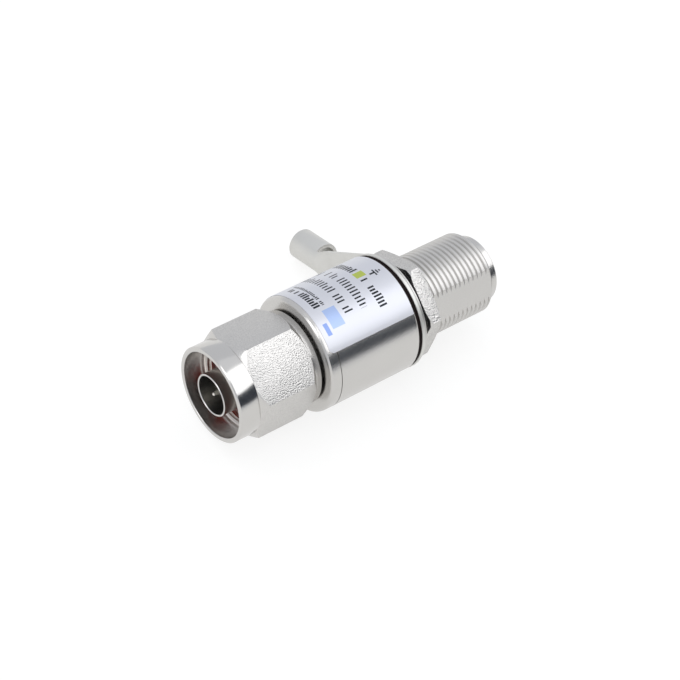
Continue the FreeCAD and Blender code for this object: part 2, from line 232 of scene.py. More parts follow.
def mill_hexagon(mesh, distance, clock):
    """Cuts the six flats of a nut, which get its second finish, with a corner at the clock angle."""
    for index in range(6):
        mill_flat(mesh, distance, clock + math.radians(30 + 60 * index), 1)


def break_edges(mesh, width, angle=SHARP, segments=2):
    """Small bevel on every edge sharper than angle."""
    edges = [edge for edge in mesh.edges if edge.is_manifold and edge.calc_face_angle() > angle]
    bmesh.ops.bevel(mesh, geom=edges, offset=width, offset_type="OFFSET", segments=segments, profile=0.5,
                    affect="EDGES", material=-1, clamp_overlap=True)


def joined(*parts):
    """One mesh from several closed ones."""
    whole = bmesh.new()
    for part in parts:
        held = bpy.data.meshes.new("held")
        part.to_mesh(held)
        part.free()
        whole.from_mesh(held)
        bpy.data.meshes.remove(held)
    return whole


def node_copy(node):
    """Mesh of a frame node in millimetres, its loose triangles merged and its flat faces whole again."""
    mesh = bmesh.new()
    mesh.from_mesh(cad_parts[node].data)
    bmesh.ops.scale(mesh, vec=(1 / MM,) * 3, verts=mesh.verts)
    # Corners within 0.002 mm are one, and faces within 0.6 degrees of each other are one.
    bmesh.ops.remove_doubles(mesh, verts=mesh.verts, dist=0.002)
    bmesh.ops.dissolve_limit(mesh, angle_limit=math.radians(0.6), use_dissolve_boundaries=False,
                             verts=mesh.verts, edges=mesh.edges, delimit=set())
    return mesh


def bent_sheet(x0, x1, a0, a1, inside, thickness, corner):
    """Sheet bent round the line from one clock angle to another, its two front corners rounded."""
    mesh = bmesh.new()
    bmesh.ops.create_grid(mesh, x_segments=1, y_segments=1, size=0.5)
    bmesh.ops.scale(mesh, vec=(x1 - x0, (a1 - a0) * inside, 1), verts=mesh.verts)
    bmesh.ops.translate(mesh, vec=((x0 + x1) / 2, (a0 + a1) / 2 * inside, 0), verts=mesh.verts)
    front = [vert for vert in mesh.verts if vert.co.x < x0 + 0.01]
    bmesh.ops.bevel(mesh, geom=front, offset=corner, offset_type="OFFSET", segments=6, profile=0.5,
                    affect="VERTICES", material=-1, clamp_overlap=True)
    bends = STEPS // 2
    for index in range(1, bends):
        cut(mesh, (0, (a0 + (a1 - a0) * index / bends) * inside, 0), (0, 1, 0))
    raised = bmesh.ops.extrude_face_region(mesh, geom=mesh.faces[:])["geom"]
    bmesh.ops.translate(mesh, vec=(0, 0, thickness),
                        verts=[item for item in raised if isinstance(item, bmesh.types.BMVert)])
    for vert in mesh.verts:
        radius, clock = inside + vert.co.z, vert.co.y / inside
        vert.co.y, vert.co.z = radius * math.cos(clock), radius * math.sin(clock)
    bmesh.ops.recalc_face_normals(mesh, faces=mesh.faces)
    return mesh


# ---------------------------------------------------------------- objects


def new_object(name, data):
    """Object of its data, linked to the scene."""
    made = bpy.data.objects.new(name, data)
    bpy.context.scene.collection.objects.link(made)
    return made


def mesh_object(name, mesh, materials):
    """Object of a finished mesh and its materials."""
    data = bpy.data.meshes.new(name)
    mesh.to_mesh(data)
    mesh.free()
    for material in materials:
        data.materials.append(material)
    return new_object(name, data)


def place_piece(name, mesh, body, materials, stands_for, sharp=SHARP):
    """Makes a piece, rides it on its body and hides the frame nodes that it stands for.

    It is smooth but for its sharp edges and the borders between its finishes.
    """
    for face in mesh.faces:
        face.smooth = True
    for edge in mesh.edges:
        one_finish = len({face.material_index for face in edge.link_faces}) == 1
        edge.smooth = edge.is_manifold and one_finish and edge.calc_face_angle() < sharp
    bmesh.ops.scale(mesh, vec=(MM,) * 3, verts=mesh.verts)
    piece = mesh_object(name, mesh, materials)
    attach(piece, body)
    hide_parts(*stands_for)


def dress(node, material):
    """Gives a frame node, which keeps its shape, its finished material."""
    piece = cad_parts[node]
    if not piece.material_slots:
        piece.data.materials.append(material)
    for slot in piece.material_slots:
        slot.material = material


def face_origin(obj, place):
    """Puts a lamp or card at a place, facing the origin, with its width along the line of the arrestor."""
    out = Vector(place).normalized()
    along = (Vector((1, 0, 0)) - out * out.x).normalized()
    turn = Matrix((along, out.cross(along), out)).transposed()
    obj.matrix_world = Matrix.Translation(place) @ turn.to_4x4()


# ---------------------------------------------------------------- materials


def add(tree, kind, settings=None, inputs=None):
    """Adds a node with its settings. An input takes a value, an output, or a node for its first output."""
    made = tree.nodes.new(kind)
    for key, value in (settings or {}).items():
        setattr(made, key, value)
    for key, value in (inputs or {}).items():
        if hasattr(value, "outputs"):
            value = value.outputs[0]
        if hasattr(value, "links"):
            tree.links.new(value, made.inputs[key])
        else:
            made.inputs[key].default_value = value
    return made


def new_material(name):
    """Empty node material and its tree, or None for the tree if it is there already."""
    if name in bpy.data.materials:
        return bpy.data.materials[name], None
    material = bpy.data.materials.new(name)
    material.use_nodes = True
    material.node_tree.nodes.clear()
    return material, material.node_tree


def surface(tree, inputs):
    """Ends a material in one surface with these inputs."""
    shader = add(tree, "ShaderNodeBsdfPrincipled", inputs=inputs)
    add(tree, "ShaderNodeOutputMaterial", inputs={"Surface": shader})


def tinted(tree, colour, amount, where, size_mm):
    """Colour that wanders a little lighter and darker over patches of a size."""
    patches = add(tree, "ShaderNodeTexNoise",
                  inputs={"Scale": 1 / (size_mm * MM), "Detail": 2.0, "Vector": where})
    dark = tuple(v * (1 - amount) for v in colour)
    light = tuple(min(1, v * (1 + amount)) for v in colour)
    mix = add(tree, "ShaderNodeMix", {"data_type": "RGBA"},
              {FACTOR: patches, FIRST_COLOUR: (*dark, 1), SECOND_COLOUR: (*light, 1)})
    return mix.outputs[MIXED]


def lathe_marks(tree, where, spacing_mm):
    """Height of fine turning marks: rings along the line on a barrel, circles on an end face."""
    parts = add(tree, "ShaderNodeSeparateXYZ", inputs={0: where})
    across = add(tree, "ShaderNodeCombineXYZ", inputs={1: parts.outputs[1], 2: parts.outputs[2]})
    radius = add(tree, "ShaderNodeVectorMath", {"operation": "LENGTH"}, {0: across})
    travel = add(tree, MATH, {"operation": "ADD"}, {0: parts.outputs[0], 1: radius.outputs["Value"]})
    return add(tree, "ShaderNodeTexNoise", {"noise_dimensions": "1D"},
               {"Scale": 1 / (spacing_mm * MM), "Detail": 3.0, "Roughness": 0.6, "W": travel})


def nickel_plate():
    """Bright nickel on turned brass: a clear but slightly soft mirror, with turning marks under the plate."""
    material, tree = new_material("bright_nickel_on_turned_brass")
    if tree is None:
        return material
    where = add(tree, "ShaderNodeTexCoord").outputs["Object"]
    colour = tinted(tree, finish().plate, 0.02, where, 6)
    # Turning marks are some 0.05 mm apart; they are drawn at 0.25 mm so that they show.
    marks = add(tree, "ShaderNodeBump", inputs={"Strength": 0.05, "Distance": 0.02 * MM,
                                                "Height": lathe_marks(tree, where, 0.25)})
    # The plate's grain is under 0.1 mm; it is drawn at 0.25 mm, and gives a reflection its speckled edge.
    grain = add(tree, "ShaderNodeTexNoise", inputs={"Scale": 1 / (0.25 * MM), "Detail": 2.0, "Vector": where})
    normal = add(tree, "ShaderNodeBump", inputs={"Strength": 0.4, "Distance": 0.03 * MM, "Height": grain,
                                                 "Normal": marks})
    rough = add(tree, "ShaderNodeMapRange", inputs={"Value": grain, "To Min": 0.20, "To Max": 0.27})
    surface(tree, {"Base Color": colour, "Metallic": 1.0, "Roughness": rough, "Normal": normal})
    return material


def nickel_rim():
    """The same nickel on a finely turned rim: a clear mirror that keeps the edges of what it shows."""
    material, tree = new_material("bright_nickel_on_fine_turned_rim")
    if tree is None:
        return material
    where = add(tree, "ShaderNodeTexCoord").outputs["Object"]
    colour = tinted(tree, finish().plate, 0.02, where, 6)
    # Turning marks are some 0.03 mm apart; they are drawn at 0.2 mm so that they show.
    marks = lathe_marks(tree, where, 0.2)
    normal = add(tree, "ShaderNodeBump", inputs={"Strength": 0.04, "Distance": 0.02 * MM, "Height": marks})
    rough = add(tree, "ShaderNodeMapRange", inputs={"Value": marks, "To Min": 0.15, "To Max": 0.19})
    surface(tree, {"Base Color": colour, "Metallic": 1.0, "Roughness": rough, "Normal": normal})
    return material


def nickel_thread():
    """The same nickel on the cut thread: satin crests with soft reflections and no clear edges."""
    material, tree = new_material("satin_nickel_on_cut_thread")
    if tree is None:
        return material
    where = add(tree, "ShaderNodeTexCoord").outputs["Object"]
    colour = tinted(tree, finish().plate, 0.02, where, 6)
    # Marks of the threading tool are some 0.05 mm apart; they are drawn at 0.2 mm so that they show.
    marks = lathe_marks(tree, where, 0.2)
    normal = add(tree, "ShaderNodeBump", inputs={"Strength": 0.10, "Distance": 0.02 * MM, "Height": marks})
    rough = add(tree, "ShaderNodeMapRange", inputs={"Value": marks, "To Min": 0.34, "To Max": 0.42})
    surface(tree, {"Base Color": colour, "Metallic": 1.0, "Roughness": rough, "Normal": normal})
    return material


def nickel_flats(name="bright_nickel_on_etched_flats", pit=0.2, depth=0.07, tint=0.3):
    """The same nickel on the flats of drawn hexagon bar: pitted by etching, so it glitters grain by grain."""
    material, tree = new_material(name)
    if tree is None:
        return material
    where = add(tree, "ShaderNodeTexCoord").outputs["Object"]
    # Pits are about 0.1 mm; they are drawn at 0.2 mm or a little more so that they show.
    colour = tinted(tree, finish().plate, tint, where, pit)
    pits = add(tree, "ShaderNodeTexNoise",
               inputs={"Scale": 1 / (pit * MM), "Detail": 0.5, "Roughness": 0.6, "Vector": where})
    normal = add(tree, "ShaderNodeBump", inputs={"Strength": 1.0, "Distance": depth * MM, "Height": pits})
    surface(tree, {"Base Color": colour, "Metallic": 1.0, "Roughness": 0.28, "Normal": normal})
    return material


def dull_tin():
    """Tinned copper sheet: a soft grey metal with no clear reflections."""
    material, tree = new_material("dull_tin_on_copper_sheet")
    if tree is None:
        return material
    where = add(tree, "ShaderNodeTexCoord").outputs["Object"]
    colour = tinted(tree, finish().lug, 0.04, where, 3)
    # The tin's grain is under 0.1 mm; it is drawn at 0.15 mm so that it shows.
    grain = add(tree, "ShaderNodeTexNoise", inputs={"Scale": 1 / (0.15 * MM), "Detail": 3.0, "Vector": where})
    normal = add(tree, "ShaderNodeBump", inputs={"Strength": 0.12, "Distance": 0.02 * MM, "Height": grain})
    rough = add(tree, "ShaderNodeMapRange", inputs={"Value": grain, "To Min": 0.40, "To Max": 0.55})
    surface(tree, {"Base Color": colour, "Metallic": 1.0, "Roughness": rough, "Normal": normal})
    return material


def plain_metal(name, hex_colour, roughness):
    """Plated or rolled metal of the inner and small parts, a plain shine with faint rings in it."""
    material, tree = new_material(name)
    if tree is None:
        return material
    where = add(tree, "ShaderNodeTexCoord").outputs["Object"]
    colour = tinted(tree, linear(hex_colour), 0.04, where, 3)
    # Tool marks are some 0.05 mm apart; they are drawn at 0.2 mm so that they show.
    marks = lathe_marks(tree, where, 0.2)
    normal = add(tree, "ShaderNodeBump", inputs={"Strength": 0.08, "Distance": 0.02 * MM, "Height": marks})
    rough = add(tree, "ShaderNodeMapRange",
                inputs={"Value": marks, "To Min": roughness - 0.05, "To Max": roughness + 0.05})
    surface(tree, {"Base Color": colour, "Metallic": 1.0, "Roughness": rough, "Normal": normal})
    return material


def moulded(name, colour, roughness, grain_mm, ior=1.5, specular=0.5):
    """Moulded rubber, plastic or fired ceramic, its soft shine broken by a fine grain of its own size."""
    material, tree = new_material(name)
    if tree is None:
        return material
    where = add(tree, "ShaderNodeTexCoord").outputs["Object"]
    tint = tinted(tree, colour, 0.06, where, 2)
    grain = add(tree, "ShaderNodeTexNoise",
                inputs={"Scale": 1 / (grain_mm * MM), "Detail": 4.0, "Vector": where})
    normal = add(tree, "ShaderNodeBump", inputs={"Strength": 0.15, "Distance": 0.03 * MM, "Height": grain})
    rough = add(tree, "ShaderNodeMapRange",
                inputs={"Value": grain, "To Min": roughness - 0.06, "To Max": roughness + 0.06})
    surface(tree, {"Base Color": tint, "Roughness": rough, "IOR": ior, "Specular IOR Level": specular,
                   "Normal": normal})
    return material


# Radius at which the print's clock angles are laid out.
PRINT_RADIUS = 11.2
# Printed lines: stations from and to, clock degrees from and to, stroke spacing in mm and its dark share.
PRINT_ROWS = (
    (-17.5, -16.0, 50, 91, 0.62, 0.66),
    (-15.75, -15.1, 46, 91, 0.42, 0.60),
    (-12.95, -11.15, 22, 113, 0.74, 0.42),
    (-9.65, -7.85, 30, 110, 0.74, 0.42),
    (-6.15, -4.45, 40, 71, 0.66, 0.64),
    (-6.15, -4.45, 84, 118, 0.66, 0.56),
)
# Coloured fields in the same terms.
BLUE_BAR = (-18.1, -17.2, 108, 120)
BLUE_FIELD = (-16.6, -13.9, 96, 116)
GREEN_FIELD = (-6.3, -4.2, 73, 81)
# Earth sign: stem and three bars.
EARTH_SIGN = (
    (-3.7, -2.6, 81.5, 83.5),
    (-2.75, -2.45, 78.4, 86.6),
    (-2.2, -1.9, 80.1, 84.9),
    (-1.65, -1.35, 81.4, 83.6),
)


def field(tree, along, around, x0, x1, first, last):
    """Mask of a rectangle on the label, between two stations and two clock angles in degrees."""
    a0, a1 = math.radians(first) * PRINT_RADIUS, math.radians(last) * PRINT_RADIUS
    lengthwise = add(tree, MATH, {"operation": "COMPARE"}, {0: along, 1: (x0 + x1) / 2, 2: abs(x1 - x0) / 2})
    crosswise = add(tree, MATH, {"operation": "COMPARE"}, {0: around, 1: (a0 + a1) / 2, 2: abs(a1 - a0) / 2})
    return add(tree, MATH, {"operation": "MULTIPLY"}, {0: lengthwise, 1: crosswise})


def stroke_row(tree, along, around, x0, x1, first, last, cell, duty, seed):
    """Mask of a row of short strokes that stands in for a printed line. Some are left out, as word spaces."""
    spaces, shortest, spread = 0.13, 0.7, 0.6
    mask = field(tree, along, around, x0, x1, first, last)
    cells = add(tree, MATH, {"operation": "DIVIDE"}, {0: around, 1: cell})
    share = add(tree, MATH, {"operation": "FRACT"}, {0: cells})
    stroke = add(tree, MATH, {"operation": "LESS_THAN"}, {0: share, 1: duty})
    whole = add(tree, MATH, {"operation": "FLOOR"}, {0: cells})
    number = add(tree, MATH, {"operation": "ADD"}, {0: whole, 1: seed})
    dice = add(tree, "ShaderNodeTexWhiteNoise", {"noise_dimensions": "1D"}, {"W": number}).outputs["Value"]
    kept = add(tree, MATH, {"operation": "GREATER_THAN"}, {0: dice, 1: spaces})
    # The same dice, stretched over several turns, gives each stroke its length.
    stretched = add(tree, MATH, {"operation": "MULTIPLY"}, {0: dice, 1: 7.3})
    tall = add(tree, MATH, {"operation": "FRACT"}, {0: stretched})
    top = add(tree, MATH, {"operation": "MULTIPLY_ADD"},
              {0: tall, 1: spread * (x1 - x0), 2: x0 + shortest * (x1 - x0)})
    below = add(tree, MATH, {"operation": "LESS_THAN"}, {0: along, 1: top})
    for part in (stroke, kept, below):
        mask = add(tree, MATH, {"operation": "MULTIPLY"}, {0: mask, 1: part})
    return mask


def label_film():
    """Printed pearl film, a satin metallised polyester: white where it shows a lamp, else pale grey."""
    material, tree = new_material("printed_metallised_polyester")
    if tree is None:
        return material
    where = add(tree, "ShaderNodeTexCoord").outputs["Object"]
    parts = add(tree, "ShaderNodeSeparateXYZ", inputs={0: where})
    along = add(tree, MATH, {"operation": "DIVIDE"}, {0: parts.outputs[0], 1: MM})
    turn = add(tree, MATH, {"operation": "ARCTAN2"}, {0: parts.outputs[2], 1: parts.outputs[1]})
    around = add(tree, MATH, {"operation": "MULTIPLY"}, {0: turn, 1: PRINT_RADIUS})
    dark = 0.0
    for index, row in enumerate(PRINT_ROWS):
        strokes = stroke_row(tree, along, around, *row, seed=17 * index)
        dark = add(tree, MATH, {"operation": "MAXIMUM"}, {0: dark, 1: strokes})
    for bar in EARTH_SIGN:
        dark = add(tree, MATH, {"operation": "MAXIMUM"}, {0: dark, 1: field(tree, along, around, *bar)})
    colour = tinted(tree, finish().film, 0.015, where, 4)
    for tone, mask in ((finish().blue_field, field(tree, along, around, *BLUE_FIELD)),
                       (finish().blue_bar, field(tree, along, around, *BLUE_BAR)),
                       (finish().green_field, field(tree, along, around, *GREEN_FIELD)),
                       (finish().ink, dark)):
        mix = add(tree, "ShaderNodeMix", {"data_type": "RGBA"},
                  {FACTOR: mask, FIRST_COLOUR: colour, SECOND_COLOUR: (*tone, 1)})
        colour = mix.outputs[MIXED]
    grain = add(tree, "ShaderNodeTexNoise", inputs={"Scale": 1 / (0.4 * MM), "Detail": 2.0, "Vector": where})
    normal = add(tree, "ShaderNodeBump", inputs={"Strength": 0.04, "Distance": 0.02 * MM, "Height": grain})
    surface(tree, {"Base Color": colour, "Metallic": 0.55, "Roughness": 0.37, "Normal": normal})
    return material


# ---------------------------------------------------------------- operators, one for each group of pieces


class ARRESTOR_OT_coupling_nut(bpy.types.Operator):
    """Hexagon coupling nut with its round rim, chamfers, counterbore and right-hand thread"""
    bl_idname = "arrestor.coupling_nut"
    bl_label = "Coupling nut"

    def execute(self, context):
        size = sizes()
        front, rear = span("coupling_nut")
        flat = size.hex_across_flats / MM / 2
        corner = flat / math.cos(math.radians(30))
        rim = flat + 0.1
        rim_bevel = 0.19
        chamfer = corner - rim
        hex_start = front + 3.95
        thread = size.thread_diameter / MM / 2
        entry = thread + 0.23
        wall = thread + 0.45
        backing = wall + 0.1
        ring_groove = rear - 4.4
        throat_bore = 7.258
        collar = flat - 0.05
        collar_start = rear - 1.25
        hexed = turned([
            (hex_start, wall), (hex_start, rim), (hex_start + chamfer, corner),
            (collar_start - corner + collar, corner), (collar_start, collar), (rear - 0.1, collar),
            (rear, collar - 0.1), (rear, wall)])
        mill_hexagon(hexed, flat, size.coupling_clock)
        rim_ring = turned([
            (front, entry + 0.1), (front, rim - rim_bevel), (front + rim_bevel, rim), (hex_start + 0.02, rim),
            (hex_start + 0.02, entry), (front + 0.1, entry)])
        lead = turned([
            (hex_start - 0.1, entry), (hex_start - 0.1, backing), (hex_start + 0.75, backing),
            (hex_start + 0.75, thread - 0.5), (hex_start + 0.62, thread - 0.5), (hex_start + 0.45, entry)])
        screw = threaded_ring(hex_start + 0.65, ring_groove - 0.6, thread + 0.04, thread - 0.52, backing,
                              size.thread_pitch / MM)
        throat = turned([(ring_groove, throat_bore), (ring_groove, backing), (rear - 0.01, backing),
                         (rear - 0.01, throat_bore)])
        # The rim's outside gets the finish of the fine cut, and its inside keeps the plain plate.
        for face in rim_ring.faces:
            middle = face.calc_center_median()
            inward = face.normal.dot(Vector((0, middle.y, middle.z))) < 0
            face.material_index = 0 if inward else 2
        mesh = joined(hexed, rim_ring)
        break_edges(mesh, size.edge_break / MM)
        for face in lead.faces[:] + screw.faces[:]:
            face.material_index = 3
        mesh = joined(mesh, lead, screw, throat)
        place_piece("coupling_nut_plated", mesh, "coupling_nut",
                    [nickel_plate(), nickel_flats(), nickel_rim(),
                     plain_metal("fresh_nickel_on_inner_thread", "EFEAE6", 0.25)], ["coupling_nut"])
        return {"FINISHED"}


class ARRESTOR_OT_plug_inside(bpy.types.Operator):
    """Contact tube, hub and cap of the plug, with its gasket and centre pin"""
    bl_idname = "arrestor.plug_inside"
    bl_label = "Plug body, gasket and pin"

    def execute(self, context):
        size = sizes()
        front, back = span("plug_body")
        seam = span("shell_body")[0]
        cap = span("coupling_nut")[1] + 0.5
        barrel = size.barrel_diameter / MM / 2
        contact = size.contact_diameter / MM / 2
        mouth, bore = 3.76, 3.68
        hub, hub_front = 7.198, cap - 7.3
        spigot, hollow, bead_seat = 9.2, 5.0, cap - 3.5
        shoulder = 0.75
        outline = [(front, mouth), (front, contact - 0.1), (front + 0.1, contact), (hub_front, contact),
                   (hub_front, hub), (cap, hub)]
        # Three straight cuts of the tool round the shoulder, each of which keeps its edge.
        for angle in range(0, 91, 30):
            turn = math.radians(angle)
            outline.append((cap + shoulder * (1 - math.cos(turn)), barrel - shoulder * (1 - math.sin(turn))))
        outline += [(seam - SEAM, barrel), (seam - SEAM, barrel - 0.4), (seam, barrel - 0.4), (seam, spigot),
                    (back, spigot), (back, hollow), (bead_seat, hollow), (bead_seat, bore),
                    (front + 0.1, bore)]
        place_piece("plug_body_turned", turned(outline), "arrestor", [nickel_plate()],
                    ["plug_body"])

        tip, pin_back = span("plug_pin")
        step = front + 5.7
        slim, thick, point = 0.8, 1.52, 0.35
        # The point is slim and reaches 0.45 mm further than the plain pin of the frame.
        tip -= 0.45
        pin_outline = [(tip, 0)]
        for angle in (15, 30, 45, 60):
            turn = math.radians(angle)
            pin_outline.append((tip + point * (1 - math.cos(turn)), point * math.sin(turn)))
        pin_outline += [(tip + 1.0, 0.44), (tip + 2.0, 0.66), (tip + 2.6, slim), (step - 0.35, slim),
                        (step, thick), (pin_back - 3, thick), (pin_back - 3, 0)]
        pin = turned(pin_outline, steps=48, closed=False)
        place_piece("plug_pin_plated", pin, "arrestor",
                    [plain_metal("silver_on_pin", "E4E1D8", 0.34)], ["plug_pin"])

        x0, x1 = span("plug_gasket")
        inner, outer = contact + 0.02, 7.1
        gasket = turned([(x0, inner), (x0, outer), (x1, outer), (x1, inner)])
        break_edges(gasket, 0.2, segments=3)
        place_piece("plug_gasket_moulded", gasket, "arrestor",
                    [moulded("red_silicone_rubber", finish().gasket, 0.42, 0.15)], ["plug_gasket"])
        return {"FINISHED"}


class ARRESTOR_OT_barrel(bpy.types.Operator):
    """Barrel and threaded shank with its long flat, the plain rim of the jack, and the label"""
    bl_idname = "arrestor.barrel"
    bl_label = "Barrel, threaded shank and label"

    def execute(self, context):
        size = sizes()
        seam, end = span("shell_body")
        barrel = size.barrel_diameter / MM / 2
        thread = size.thread_diameter / MM / 2
        root = thread - 0.36
        flat = thread - 0.74
        shank = end - 2.1
        rim = flat - 0.65
        cavity, core, cavity_end = 9.3, 5.0, -2.5
        body = turned([(seam, cavity), (seam, barrel - 0.4), (seam + SEAM, barrel - 0.4),
                       (seam + SEAM, barrel), (-0.25, barrel), (-0.1, barrel - 0.06), (0, barrel - 0.25),
                       (0, core), (cavity_end, core), (cavity_end, cavity)])
        # Plate rounds and fills the thread, so its crests are broad and its grooves narrow.
        screw = threaded_ring(-0.05, shank, root, thread, wall=4.4, pitch=size.thread_pitch / MM, crest=0.5)
        for face in screw.faces:
            face.material_index = 1
        # The chamfer at the shank's end falls by 1.9 mm for each millimetre along.
        turn_down(screw, lambda x: min(thread + 1, flat + 0.1 + 1.9 * (shank - x)))
        mill_flat(screw, flat, size.flat_clock)
        jack_mouth, jack_bore, line_bore, line_start, web = 4.43, 4.08, 3.5, 2.4, 4.5
        tail = turned([(shank - 0.3, web), (shank - 0.3, rim - 0.9), (shank + 0.3, rim - 0.9),
                       (shank + 0.3, rim - 0.1), (end - 1.4, rim - 0.1), (end - 1.4, rim),
                       (end - 0.25, rim), (end, rim - 0.25), (end, jack_mouth), (end - 0.35, jack_bore),
                       (end - 10.5, jack_bore), (end - 10.5, line_bore), (line_start, line_bore),
                       (line_start, web)])
        break_edges(tail, 0.06)
        # The long flat meets the thread at 25 degrees, and that edge stays sharp.
        place_piece("barrel_and_shank", joined(body, screw, tail), "arrestor",
                    [nickel_plate(), nickel_thread()], ["shell_body"], sharp=math.radians(18))

        film = bent_sheet(seam - 1.35, -0.27, size.label_clock - math.pi, size.label_clock, barrel + 0.01,
                          thickness=0.07, corner=1.0)
        place_piece("label_printed", film, "arrestor", [label_film()], ["label"])
        return {"FINISHED"}


class ARRESTOR_OT_panel_fittings(bpy.types.Operator):
    """Rubber seal, earth lug, lock washer and hexagon nut on the shank"""
    bl_idname = "arrestor.panel_fittings"
    bl_label = "Seal, lug, washer and panel nut"

    def execute(self, context):
        size = sizes()
        x0, x1 = span("panel_seal")
        # The nut squeezes the rubber, so it bulges out a little between its two faces.
        inner, outer = 7.99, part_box("panel_seal")[1].z / MM
        seal = turned([(x0, inner), (x0, outer), (x0 + 0.1, outer + 0.3), (x1 - 0.1, outer + 0.42),
                       (x1, outer + 0.42), (x1, inner)])
        place_piece("panel_seal_moulded", seal, "arrestor",
                    [moulded("black_rubber_seal", finish().seal, 0.7, 0.12, specular=0.15)], ["panel_seal"])

        lug = node_copy("ground_lug")
        break_edges(lug, 0.07, math.radians(40))
        place_piece("ground_lug_tinned", lug, "ground_lug", [dull_tin()], ["ground_lug"])

        # The washer is stamped with a step in its edge, which leaves a thin dark slot behind the lug.
        washer = node_copy("lock_washer")
        step = span("lock_washer")[0] + 0.2
        for station in (step - 0.01, step):
            cut(washer, (station, 0, 0), (1, 0, 0))
        turn_down(washer, lambda x: 10.4 if x < step - 0.005 else 10.95)
        break_edges(washer, 0.05, math.radians(40))
        place_piece("lock_washer_plated", washer, "lock_washer", [nickel_thread()],
                    ["lock_washer"])

        front, rear = span("panel_nut")
        flat = size.hex_across_flats / MM / 2
        corner = flat / math.cos(math.radians(30))
        thread = size.thread_diameter / MM / 2
        wall = thread + 0.4
        backing = wall + 0.1
        collar = flat - 0.05
        groove = collar - 0.15
        hex_start = front + 1.5
        nut = turned([(front, wall), (front, collar), (hex_start - 0.45, collar), (hex_start - 0.4, groove),
                      (hex_start, groove), (hex_start, flat + 0.45), (hex_start + 0.22, flat + 1),
                      (hex_start + 0.75, corner), (rear - 0.45, corner), (rear, flat), (rear, wall)])
        mill_hexagon(nut, flat, size.panel_nut_clock)
        # The steep front chamfer and the groove in front of it get painted shade: a dark metal that stands
        # for the shadowed gap between washer and nut.
        for face in nut.faces:
            in_groove = hex_start - 0.44 < face.calc_center_median().x < hex_start - 0.01
            if -0.95 < face.normal.x < -0.8 or in_groove:
                face.material_index = 2
        break_edges(nut, size.edge_break / MM)
        screw = threaded_ring(front + 0.3, rear - 0.3, thread + 0.05, thread - 0.45, backing,
                              size.thread_pitch / MM)
        leads = [turned([(a, wall), (a, backing), (b, backing), (b, thread + 0.05)])
                 for a, b in ((front + 0.01, front + 0.31), (rear - 0.01, rear - 0.31))]
        place_piece("panel_nut_plated", joined(nut, screw, *leads), "panel_nut",
                    [nickel_plate(), nickel_flats("bright_nickel_on_coarse_flats", 0.23, 0.12, 0.45),
                     # The third finish is painted shade, a dark metal on the front chamfer and groove.
                     plain_metal("painted_shade_on_nut_chamfer", "3A3A3C", 0.3)],
                    ["panel_nut"])
        return {"FINISHED"}


class ARRESTOR_OT_inner_line(bpy.types.Operator):
    """Finishes of the parts inside: beads, conductor, discharge tube, socket and rings"""
    bl_idname = "arrestor.inner_line"
    bl_label = "Inner line"

    def execute(self, context):
        ptfe = moulded("white_turned_ptfe", linear("ECEBE6"), 0.45, 0.2, ior=1.38)
        silver = plain_metal("silver_on_brass", "DAD9D4", 0.25)
        spring = plain_metal("rolled_spring_steel", "A9A9A6", 0.35)
        for node, material in (
                ("front_bead", ptfe), ("rear_bead", ptfe), ("jack_bead", ptfe), ("cavity_block", silver),
                ("centre_conductor", silver), ("tube_plug", silver),
                ("jack_socket", plain_metal("gold_on_socket", "E2C37C", 0.22)),
                ("gas_tube", moulded("fired_alumina", linear("E4DFD6"), 0.4, 0.1, ior=1.77)),
                ("tube_spring", spring), ("nut_retaining_ring", spring),
                ("cap_seal", moulded("black_rubber_cord", linear("17171A"), 0.45, 0.12))):
            dress(node, material)
        return {"FINISHED"}


